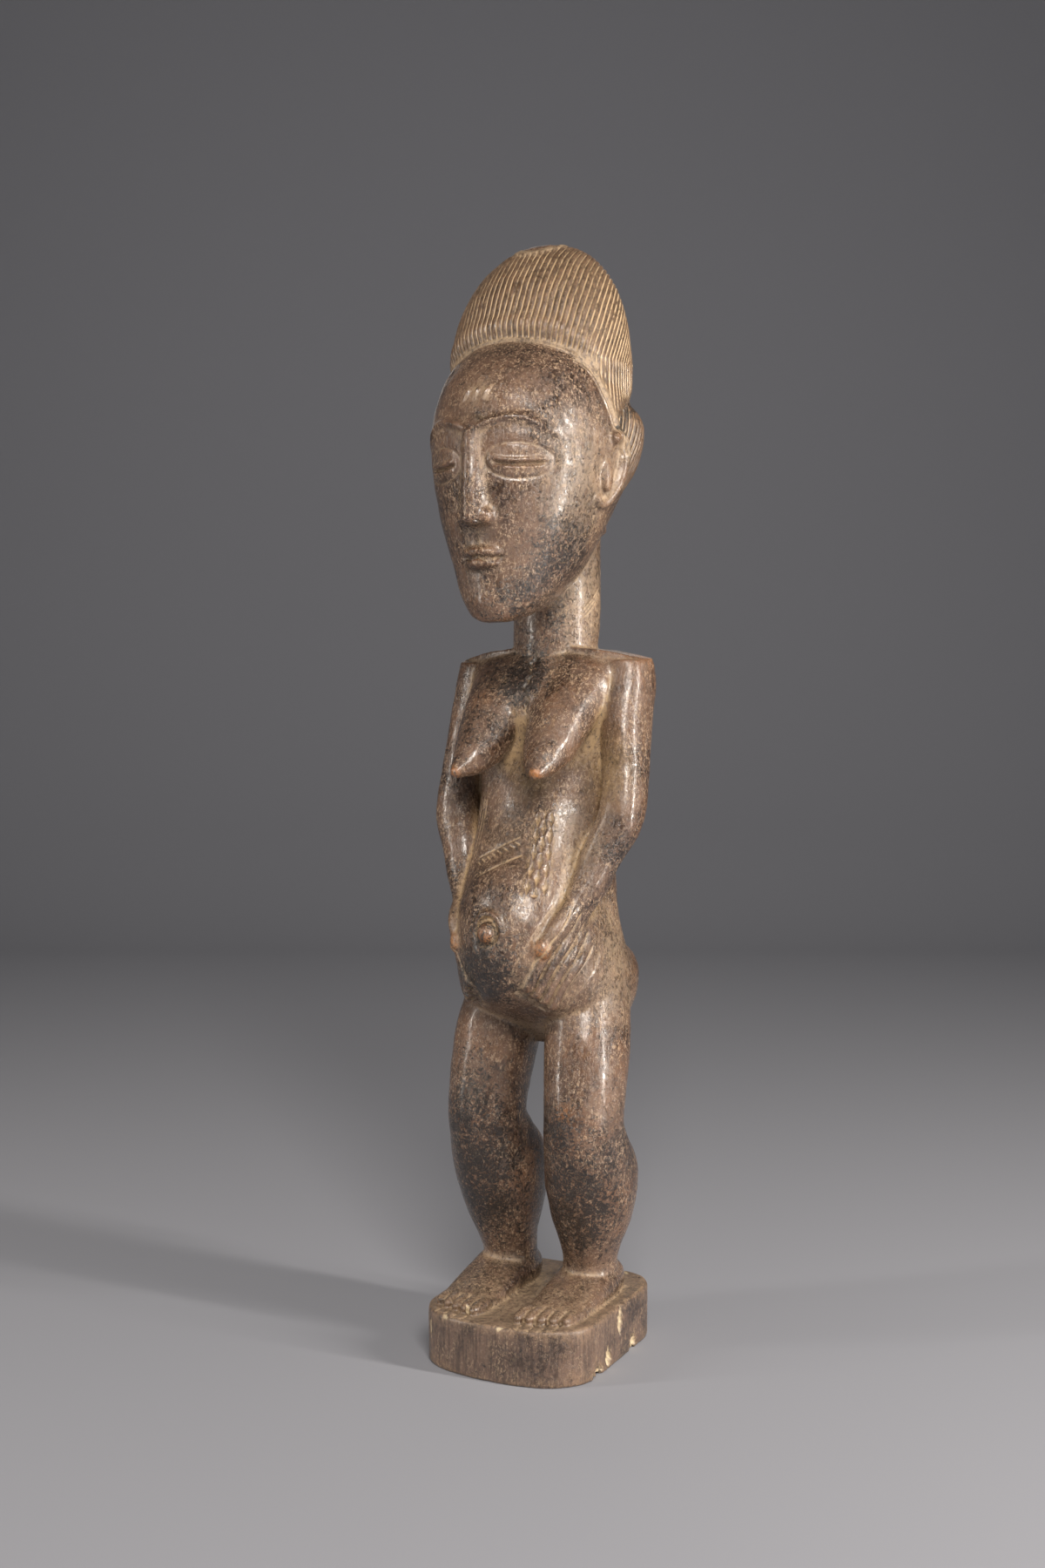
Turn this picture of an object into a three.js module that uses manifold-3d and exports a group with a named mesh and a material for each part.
// A standing female figure with a combed coiffure and both hands on the belly, carved with its base from one
// block of wood. Millimetres. +Z is up, the figure faces -Y and its left side is +X. The origin is the middle
// of the base's underside.
import * as THREE from "three";
import { mergeVertices } from "three/addons/utils/BufferGeometryUtils.js";
import Module from "manifold-3d";

const wasm = await Module();
wasm.setup();

// Driving sizes
const baseThickness = 22.5;
const base = { left: 37.5, right: 35.5, front: 39, back: 44, corner: 19, bow: 4, turn: 3.5, bevel: 1.2 };

// A station of a form: its middle, its half width, and its reach forward and back.
// Torso without arms, breasts and belly, from the neck's root down to between the thighs
const torso = [
  { at: [0, 17, 286], wide: 27, front: 13, back: 11 },
  { at: [0, 17, 279], wide: 34.5, front: 20.5, back: 13.5 },
  { at: [0, 16.5, 268], wide: 34.5, front: 28, back: 17 },
  { at: [0, 15, 257], wide: 32.5, front: 25, back: 18.5 },
  { at: [0, 14, 247], wide: 31, front: 21.5, back: 19 },
  { at: [0, 12, 226], wide: 29.5, front: 23, back: 20 },
  { at: [0, 10, 206], wide: 29, front: 31, back: 22 },
  { at: [0, 9.5, 190], wide: 29.5, front: 41.5, back: 23 },
  { at: [0, 11, 177], wide: 30.5, front: 48, back: 22.5 },
  { at: [0, 13, 165], wide: 32.5, front: 47.5, back: 24.5 },
  { at: [0, 16, 154], wide: 34.5, front: 44.5, back: 28.5 },
  { at: [0, 17, 144], wide: 34, front: 38, back: 27.5 },
  { at: [0, 16, 136.5], wide: 29, front: 25, back: 24 },
  { at: [0, 14, 130], wide: 18, front: 11, back: 17 },
  { at: [0, 13, 125], wide: 8, front: 5, back: 7 },
];
const shoulder = {
  half: 43.5, deep: 12.5, middle: 17.2, neckHeight: 288.5, drop: 5.5, under: 275, square: 2.6,
};
const belly = { at: [0, 3, 168], wide: 31.5, front: 42, back: 30, up: 46, down: 31.5 };
const buttock = { at: [16.5, 19, 153], wide: 17.5, front: 26, back: 25, up: 17, down: 26 };
const navel = { z: 175.5, wide: 3.7, high: 4.6, reach: 4, ringWide: 6, ringHigh: 7.6, ringThick: 1 };
const breast = [
  { at: [18.5, 9, 279], wide: 13, front: 8.5, back: 8 },
  { at: [19.3, 3, 271], wide: 15, front: 9.5, back: 12 },
  { at: [19.3, -6.5, 260], wide: 14.8, front: 10.5, back: 12 },
  { at: [19, -16, 248.5], wide: 13, front: 9.5, back: 10 },
  { at: [18.5, -24, 242], wide: 8.5, front: 7, back: 6.5 },
  { at: [18.1, -30, 238.5], wide: 4.1, front: 3.8, back: 3.4 },
  { at: [18, -33.5, 237], wide: 1.7, front: 1.7, back: 1.7 },
];
const arm = [
  { at: [33.6, 17, 281], wide: 10, front: 11.5, back: 11.5 },
  { at: [34.4, 15.8, 272], wide: 10.2, front: 12, back: 12.3 },
  { at: [36, 11, 254], wide: 9.2, front: 12, back: 11.5 },
  { at: [38, 6.2, 234], wide: 8.8, front: 10, back: 10 },
  { at: [38, 1.5, 219], wide: 8.8, front: 9, back: 9.5 },
  { at: [32.6, -3.5, 205], wide: 7.8, front: 8, back: 8.5 },
  { at: [29, -8.5, 193], wide: 7, front: 7.5, back: 7.5 },
  { at: [26, -12.5, 184.5], wide: 5.5, front: 8, back: 7.5 },
  { at: [24.6, -16.5, 176], wide: 4, front: 9, back: 8.5 },
  { at: [23, -20, 168], wide: 2.2, front: 8, back: 8 },
];
const finger = {
  count: 4, radius: 2.9, arch: 3,
  root: [[25.3, -19.5, 179], [28.8, -11, 167]],
  tip: [[13, -30.5, 152.5], [18.6, -20.5, 144.5]],
};
const thumb = { root: [26, -17.5, 186], bend: [24, -24.5, 178], tip: [20.2, -29.5, 169.5], radius: 3.3 };
const rightHand = { inset: 1.6, from: 205, to: 182 };

const leg = [
  { at: [19, 13, 152], wide: 15, front: 17, back: 20 },
  { at: [20, 9, 138], wide: 16.5, front: 19, back: 20.5 },
  { at: [21.4, 5, 125], wide: 16.8, front: 19.5, back: 20 },
  { at: [22.4, 1.5, 108], wide: 16.2, front: 18.5, back: 18 },
  { at: [22.6, 0.5, 95], wide: 16, front: 18.5, back: 15.5 },
  { at: [22.2, 4, 83], wide: 17, front: 20, back: 20 },
  { at: [21.5, 8, 71], wide: 18, front: 20.5, back: 25 },
  { at: [20.6, 10.5, 56], wide: 16, front: 17.5, back: 22 },
  { at: [19.6, 12, 43], wide: 12, front: 14, back: 15 },
  { at: [19, 12.5, 36.5], wide: 11, front: 12, back: 12.5 },
  { at: [19, 12.5, 30], wide: 11.5, front: 12.5, back: 13 },
];
const foot = [
  { at: [18.6, 28.5, 25], wide: 5, front: 4, back: 6 },
  { at: [18.8, 25.5, 26.5], wide: 10, front: 7.5, back: 7 },
  { at: [19, 14, 27], wide: 13, front: 9.5, back: 8 },
  { at: [19.3, 1, 26], wide: 12.8, front: 7.2, back: 7 },
  { at: [19.3, -13, 24.6], wide: 12.4, front: 4.8, back: 6 },
  { at: [19, -23, 23.6], wide: 11.8, front: 3.4, back: 5 },
  { at: [18.8, -27, 23.2], wide: 10.8, front: 2, back: 4 },
];
const toe = { count: 5, spread: 4.6, wide: 2.5, long: 8, high: 2.6, y: -29.5, z: 24.4, curve: 0.5, shrink: 0.05 };

const neck = [
  { at: [0, 18.5, 348], wide: 18, front: 18, back: 18 },
  { at: [0, 18.5, 302], wide: 18, front: 18, back: 18 },
  { at: [0, 17.5, 290], wide: 18, front: 17, back: 15.5 },
  { at: [0, 15.5, 272], wide: 17, front: 14, back: 13 },
];

// The head, with level sections from chin to crown, and what is carved on it
const head = [
  { at: [0, -32.5, 296.5], wide: 5.5, front: 5, back: 5 },
  { at: [0, -28, 299.5], wide: 11.5, front: 10.5, back: 14 },
  { at: [0, -23, 307], wide: 18, front: 17, back: 26 },
  { at: [0, -14, 320], wide: 25, front: 28, back: 32 },
  { at: [0, -6, 338], wide: 32.5, front: 40.5, back: 32 },
  { at: [0, 0, 356], wide: 37.6, front: 49, back: 37 },
  { at: [0, 1.5, 372], wide: 38.8, front: 50.5, back: 39 },
  { at: [0, 2, 388], wide: 36.5, front: 44.5, back: 37 },
  { at: [0, 3, 400], wide: 31, front: 33, back: 31 },
  { at: [0, 4, 408], wide: 21, front: 20, back: 21 },
  { at: [0, 5, 411.5], wide: 8, front: 7, back: 8 },
];
const face = { hairlineZ: 407, chinZ: 296, eyeX: 16.8 };
const third = (face.hairlineZ - face.chinZ) / 3;
const browZ = face.hairlineZ - third;
const noseZ = browZ - third;
const eyeZ = browZ - 0.36 * third;
const mouthZ = noseZ - third / 3;
const socket = { wide: 13.5, high: 10, deep: 4.5 };
const eye = { wide: 10, high: 5.6, reach: 6, sunk: 3.4, slitWide: 8.6, slitHigh: 0.9 };
const brow = { thick: 1.5, rise: 5.5, reach: 16.5 };
const nose = {
  rootWide: 2.4, tipWide: 5, rootReach: 1.5, tipReach: 7.5,
  wingX: 5, wingWide: 3.2, wingHigh: 3.4, wingReach: 5,
};
const lip = { wide: 8, high: 2, reach: 3.2 };
const ear = { at: [-5.5, 356], high: 13.5, long: 6.8, tube: 2.8, lean: 0.2 };
const coiffure = {
  middle: [4, 392], wide: 35.8, grooves: 28, depth: 1.1, around: 14, fullness: 0.62,
  profile: [
    [-25, 405], [-22.5, 418], [-15.5, 433], [-4.5, 445], [9, 451], [20.5, 447],
    [29.5, 435], [34, 420], [36, 404], [34, 388], [18, 374], [-8, 378],
  ],
};
const napeRoll = {
  at: [0, 12, 375], wide: 39.8, front: 16, back: 34, up: 20, down: 37, grooves: 20, depth: 1.1,
};
const napeEdge = { at: [0, 19, 337], wide: 20.5, front: 14, back: 20.5, up: 8, down: 6 };

const wood = new THREE.MeshStandardMaterial({ color: 0x4a3727, roughness: 0.45, metalness: 0 });
wood.name = "carved_wood";

// A geometry with only its places left, each shared by the faces that meet there
function plain(geometry) {
  geometry.deleteAttribute("normal");
  geometry.deleteAttribute("uv");
  return mergeVertices(geometry, 1e-4);
}

// Moves every vertex of a geometry by a rule
function warped(geometry, rule) {
  const merged = plain(geometry);
  const places = merged.attributes.position;
  const point = new THREE.Vector3();
  for (let i = 0; i < places.count; i++) {
    point.fromBufferAttribute(places, i);
    const moved = rule(point);
    places.setXYZ(i, moved.x, moved.y, moved.z);
  }
  return merged;
}

function smoothCurve(points, closed = false) {
  return new THREE.CatmullRomCurve3(points, closed, "catmullrom", 0.5);
}

// A closed form through stations, with oval sections square to its path, or level ones on a way down
function loft(stations, { sides = 20, rings = 24, side = [1, 0, 0], square = 2, level = false } = {}) {
  const path = smoothCurve(stations.map((s) => new THREE.Vector3(...s.at)));
  const reach = smoothCurve(stations.map((s) => new THREE.Vector3(s.wide, s.front, s.back)));
  const across = new THREE.Vector3(...side);
  const rounded = (v) => Math.sign(v) * Math.abs(v) ** (2 / square);
  return warped(new THREE.CylinderGeometry(1, 1, 1, sides, rings), (p) => {
    const t = THREE.MathUtils.clamp(0.5 - p.y, 0, 1);
    const tangent = level ? new THREE.Vector3(0, 0, -1) : path.getTangent(t);
    const wideAxis = across.clone().addScaledVector(tangent, -across.dot(tangent)).normalize();
    const frontAxis = new THREE.Vector3().crossVectors(tangent, wideAxis);
    const size = reach.getPoint(t);
    const forward = rounded(p.z) * (p.z > 0 ? size.y : size.z);
    return path
      .getPoint(t)
      .addScaledVector(wideAxis, rounded(p.x) * size.x)
      .addScaledVector(frontAxis, forward);
  });
}

// An egg with its own reach forward, back, up and down
function egg(form, { around = 20, rings = 14, mirror = 1 } = {}) {
  const [x, y, z] = form.at;
  const ball = new THREE.SphereGeometry(1, around, rings).rotateX(Math.PI / 2);
  return warped(ball, (p) => {
    const deep = p.y < 0 ? form.front : form.back;
    const high = p.z > 0 ? form.up : form.down;
    return new THREE.Vector3(mirror * x + p.x * form.wide, y + p.y * deep, z + p.z * high);
  });
}

const bothSides = (make) => [make(1), make(-1)];

function mirrored(stations, s) {
  return stations.map((one) => ({ ...one, at: [s * one.at[0], one.at[1], one.at[2]] }));
}

// A place on an arm or hand: the right hand lies a little closer in than the left
function handPlace(s, [x, y, z]) {
  const share = 1 - THREE.MathUtils.smoothstep(z, rightHand.to, rightHand.from);
  const inset = s < 0 ? rightHand.inset * share : 0;
  return [s * (x - inset), y, z];
}

// A size of the head's section at a height, read between its stations
function headSize(z, pick) {
  const k = Math.max(1, head.findIndex((one) => one.at[2] >= z));
  const [low, high] = [head[k - 1], head[k]];
  return THREE.MathUtils.mapLinear(z, low.at[2], high.at[2], pick(low), pick(high));
}

const headHalfWidth = (z) => headSize(z, (one) => one.wide);

// How far forward the head reaches at a place across and up the face
function faceAt(x, z) {
  const aside = Math.min(0.98, Math.abs(x) / headHalfWidth(z));
  return headSize(z, (one) => one.at[1]) - headSize(z, (one) => one.front) * Math.sqrt(1 - aside * aside);
}

// A rounded patch of the face, standing out of it by its reach
function patch(x, z, wide, high, reach, { sunk = 0, around = 12, rings = 7 } = {}) {
  const form = { at: [x, faceAt(x, z) + sunk, z], wide, front: reach, back: reach, up: high, down: high };
  return egg(form, { around, rings });
}

function makeBrow(s) {
  const spots = 7;
  const stations = Array.from({ length: spots }, (_, k) => {
    const t = k / (spots - 1);
    const x = face.eyeX + brow.reach * (1.86 * t - 0.92);
    const arch = brow.rise * Math.sin(Math.PI * Math.min(1, 0.12 + 0.8 * t));
    const z = browZ - 3.5 + arch - 9 * Math.max(0, t - 0.6);
    const thick = brow.thick * (t > 0.8 ? 0.6 : 1);
    return { at: [s * x, faceAt(x, z) + 0.4, z], wide: thick, front: thick, back: thick };
  });
  return loft(stations, { sides: 5, rings: 7, side: [0, 0, 1] });
}

function makeNose() {
  const heights = [browZ + 3, browZ - 6, (browZ + noseZ) / 2, noseZ + 4, noseZ];
  const stations = heights.map((z, k) => {
    const t = k / (heights.length - 1);
    const reach = THREE.MathUtils.lerp(nose.rootReach, nose.tipReach, t ** 1.2);
    const wide = THREE.MathUtils.lerp(nose.rootWide, nose.tipWide, t);
    return { at: [0, faceAt(0, z) + 2, z], wide, front: reach + 2, back: 4 };
  });
  return loft(stations, { sides: 10, rings: 5, level: true });
}

function makeHead() {
  const skull = loft([...head].reverse(), { sides: 22, rings: 15, level: true });
  const { wingX, wingWide, wingHigh, wingReach } = nose;
  const add = [
    ...bothSides((s) => patch(s * face.eyeX, eyeZ, eye.wide, eye.high, eye.reach, { sunk: eye.sunk })),
    ...bothSides(makeBrow),
    makeNose(),
    ...bothSides((s) => patch(s * wingX, noseZ + 3, wingWide, wingHigh, wingReach, { around: 8, rings: 6 })),
    patch(0, mouthZ + lip.high - 0.1, lip.wide, lip.high, lip.reach, { around: 10, rings: 6 }),
    patch(0, mouthZ - lip.high + 0.1, lip.wide * 0.9, lip.high, lip.reach, { around: 10, rings: 6 }),
  ];
  let made = solid(skull);
  for (const s of [1, -1]) {
    made = made.subtract(solid(patch(s * face.eyeX, eyeZ + 2, socket.wide, socket.high, socket.deep)));
  }
  for (const one of add) made = made.add(solid(one));
  const slit = (s) => {
    const cut = patch(s * face.eyeX, eyeZ - 0.5, eye.slitWide, eye.slitHigh, 1.2, { around: 8, rings: 4 });
    return solid(cut.translate(0, eye.sunk - eye.reach, 0));
  };
  return made.subtract(slit(1)).subtract(slit(-1));
}

// The combed dome: fore-and-aft rings, every second one a groove
function makeCoiffure() {
  const [cy, cz] = coiffure.middle;
  const outline = smoothCurve(coiffure.profile.map(([y, z]) => new THREE.Vector3(0, y - cy, z - cz)), true);
  const rings = coiffure.grooves * 2;
  const ball = new THREE.SphereGeometry(1, coiffure.around, rings).rotateZ(-Math.PI / 2);
  return warped(ball, (p) => {
    const tilt = Math.acos(THREE.MathUtils.clamp(p.x, -1, 1));
    const ring = Math.round((tilt / Math.PI) * rings);
    const swell = Math.sin(tilt) ** coiffure.fullness;
    const turn = Math.atan2(p.z, -p.y) / (2 * Math.PI);
    const spot = outline.getPoint((turn + 1) % 1);
    const length = Math.hypot(spot.y, spot.z);
    const cut = ring % 2 && swell > 0.2 ? coiffure.depth : 0;
    const scale = (swell * length - cut) / length;
    return new THREE.Vector3(p.x * coiffure.wide, cy + spot.y * scale, cz + spot.z * scale);
  });
}

function makeNapeRoll() {
  const [x, y, z] = napeRoll.at;
  const around = napeRoll.grooves * 2;
  const ball = new THREE.SphereGeometry(1, around, 7).rotateX(Math.PI / 2);
  return warped(ball, (p) => {
    const level = Math.hypot(p.x, p.y);
    const step = Math.round(((Math.atan2(p.y, p.x) / (2 * Math.PI) + 1) % 1) * around);
    const cut = step % 2 && p.y > -0.2 && level > 0.5 ? napeRoll.depth : 0;
    const deep = p.y < 0 ? napeRoll.front : napeRoll.back;
    const high = p.z > 0 ? napeRoll.up : napeRoll.down;
    const share = level > 0 ? 1 - cut / (level * 36) : 1;
    return new THREE.Vector3(x + p.x * napeRoll.wide * share, y + p.y * deep * share, z + p.z * high);
  });
}

function makeEar(s) {
  const turns = 9;
  const stations = Array.from({ length: turns }, (_, k) => {
    const angle = THREE.MathUtils.degToRad(125 - (k / (turns - 1)) * 255);
    const thick = ear.tube * (0.45 + 0.55 * Math.sin((Math.PI * k) / (turns - 1)));
    const z = ear.at[1] + ear.high * Math.sin(angle);
    const y = ear.at[0] + ear.long * Math.cos(angle) + ear.lean * (z - ear.at[1]);
    return { at: [s * headHalfWidth(z), y, z], wide: thick * 1.3, front: thick, back: thick };
  });
  return loft(stations, { sides: 6, rings: 10 });
}

function makeFinger(s, k) {
  const share = k / (finger.count - 1);
  const at = (ends) => new THREE.Vector3(...ends[0]).lerp(new THREE.Vector3(...ends[1]), share);
  const root = at(finger.root);
  const tip = at(finger.tip);
  const spots = [0, 0.15, 0.5, 0.85, 1].map((t) => {
    const p = root.clone().lerp(tip, t);
    p.y -= finger.arch * Math.sin(Math.PI * t);
    const size = finger.radius * (t === 0 || t === 1 ? 0.55 : 1);
    return { at: handPlace(s, [p.x, p.y, p.z]), wide: size, front: size, back: size };
  });
  return loft(spots, { sides: 6, rings: 4 });
}

function makeThumb(s) {
  const ends = [thumb.root, thumb.bend, thumb.tip];
  const spots = ends.map((end, k) => {
    const size = thumb.radius * [1, 1.1, 0.75][k];
    return { at: handPlace(s, end), wide: size, front: size, back: size };
  });
  return loft(spots, { sides: 6, rings: 4 });
}

function makeToe(s, k) {
  const middle = k - (toe.count - 1) / 2;
  const x = foot[foot.length - 2].at[0] + middle * toe.spread;
  const inner = (toe.count - 1) / 2 + middle;
  const y = toe.y + toe.curve * inner ** 1.5;
  const grow = 1 - toe.shrink * inner;
  const size = { wide: toe.wide * grow, front: toe.long * grow, up: toe.high * grow };
  const form = { ...size, at: [x, y, toe.z], back: toe.long, down: toe.high };
  return egg(form, { around: 6, rings: 4, mirror: s });
}

function makeNavel() {
  const y = belly.at[1] - belly.front + 1;
  const size = { wide: navel.wide, front: navel.reach, back: 4, up: navel.high, down: navel.high };
  const knob = egg({ ...size, at: [0, y, navel.z] }, { around: 8, rings: 5 });
  const hoop = new THREE.TorusGeometry(1, navel.ringThick / navel.ringWide, 5, 12).rotateX(Math.PI / 2);
  hoop.scale(navel.ringWide, navel.ringThick * 5.6, navel.ringHigh).translate(0, y + 0.8, navel.z);
  return [knob, plain(hoop)];
}

// The shoulders: a yoke that slopes from the neck to a crisp edge over each arm
function makeShoulders() {
  const { half, deep, middle, neckHeight, drop, under, square } = shoulder;
  const rounded = (v) => Math.sign(v) * Math.abs(v) ** (2 / square);
  return warped(new THREE.CylinderGeometry(1, 1, 1, 22, 1).rotateX(Math.PI / 2), (p) => {
    const top = neckHeight - drop * p.x * p.x;
    return new THREE.Vector3(half * rounded(p.x), middle + deep * rounded(p.y), p.z > 0 ? top : under);
  });
}

// The base: a rounded block with a bowed front, its upper edge worn round
function makeBase() {
  const { left, right, front, back, corner, bow, bevel } = base;
  const outline = new THREE.Shape();
  outline.moveTo(-right, -front + corner);
  outline.bezierCurveTo(-right, -front + 4, -right + 12, -front - bow, (left - right) / 2, -front - bow);
  outline.bezierCurveTo(left - 12, -front - bow, left, -front + 4, left, -front + corner);
  outline.lineTo(left, back - corner);
  outline.quadraticCurveTo(left, back, left - corner, back);
  outline.lineTo(-right + corner, back);
  outline.quadraticCurveTo(-right, back, -right, back - corner);
  const depth = baseThickness - 2 * bevel;
  const rounding = { bevelSize: bevel, bevelThickness: bevel, bevelOffset: -bevel, bevelSegments: 2 };
  const block = new THREE.ExtrudeGeometry(outline, { depth, curveSegments: 10, ...rounding });
  return plain(block.translate(0, 0, bevel));
}

function solid(geometry) {
  const clean = mergeVertices(geometry, 1e-3);
  const places = clean.attributes.position.array;
  const corners = new Uint32Array(clean.index.array);
  return new wasm.Manifold(new wasm.Mesh({ numProp: 3, vertProperties: places, triVerts: corners }));
}

function geometryOf(body) {
  const { vertProperties, triVerts } = body.getMesh();
  const made = new THREE.BufferGeometry();
  made.setAttribute("position", new THREE.BufferAttribute(new Float32Array(vertProperties), 3));
  return made.setIndex(new THREE.BufferAttribute(triVerts, 1));
}

const armShape = { sides: 10, rings: 11, square: 2.3 };
const turned = (geometry) => geometry.rotateZ(THREE.MathUtils.degToRad(base.turn));
const forms = [
  turned(makeBase()),
  loft(torso, { sides: 18, rings: 15, square: 2.2, level: true }),
  makeShoulders(),
  egg(belly, { around: 16, rings: 10 }),
  loft(neck, { sides: 18, rings: 3, level: true }),
  makeCoiffure(),
  makeNapeRoll(),
  egg(napeEdge, { around: 14, rings: 5 }),
  ...makeNavel(),
  ...bothSides((s) => egg(buttock, { around: 10, rings: 7, mirror: s })),
  ...bothSides((s) => loft(mirrored(breast, s), { sides: 12, rings: 8 })),
  ...bothSides((s) => loft(arm.map((one) => ({ ...one, at: handPlace(s, one.at) })), armShape)),
  ...bothSides((s) => loft(mirrored(leg, s), { sides: 12, rings: 12 })),
  ...bothSides((s) => turned(loft(mirrored(foot, s), { sides: 8, rings: 6, square: 2.4 }))),
  ...bothSides(makeEar),
  ...bothSides(makeThumb),
];
for (const s of [1, -1]) {
  for (let k = 0; k < finger.count; k++) forms.push(makeFinger(s, k));
  for (let k = 0; k < toe.count; k++) forms.push(turned(makeToe(s, k)));
}

const whole = forms.map(solid).reduce((joined, form) => joined.add(form), makeHead());
const carving = new THREE.Mesh(geometryOf(whole), wood);
carving.name = "carved_figure";

const statue = new THREE.Group();
statue.add(carving);

export default statue;
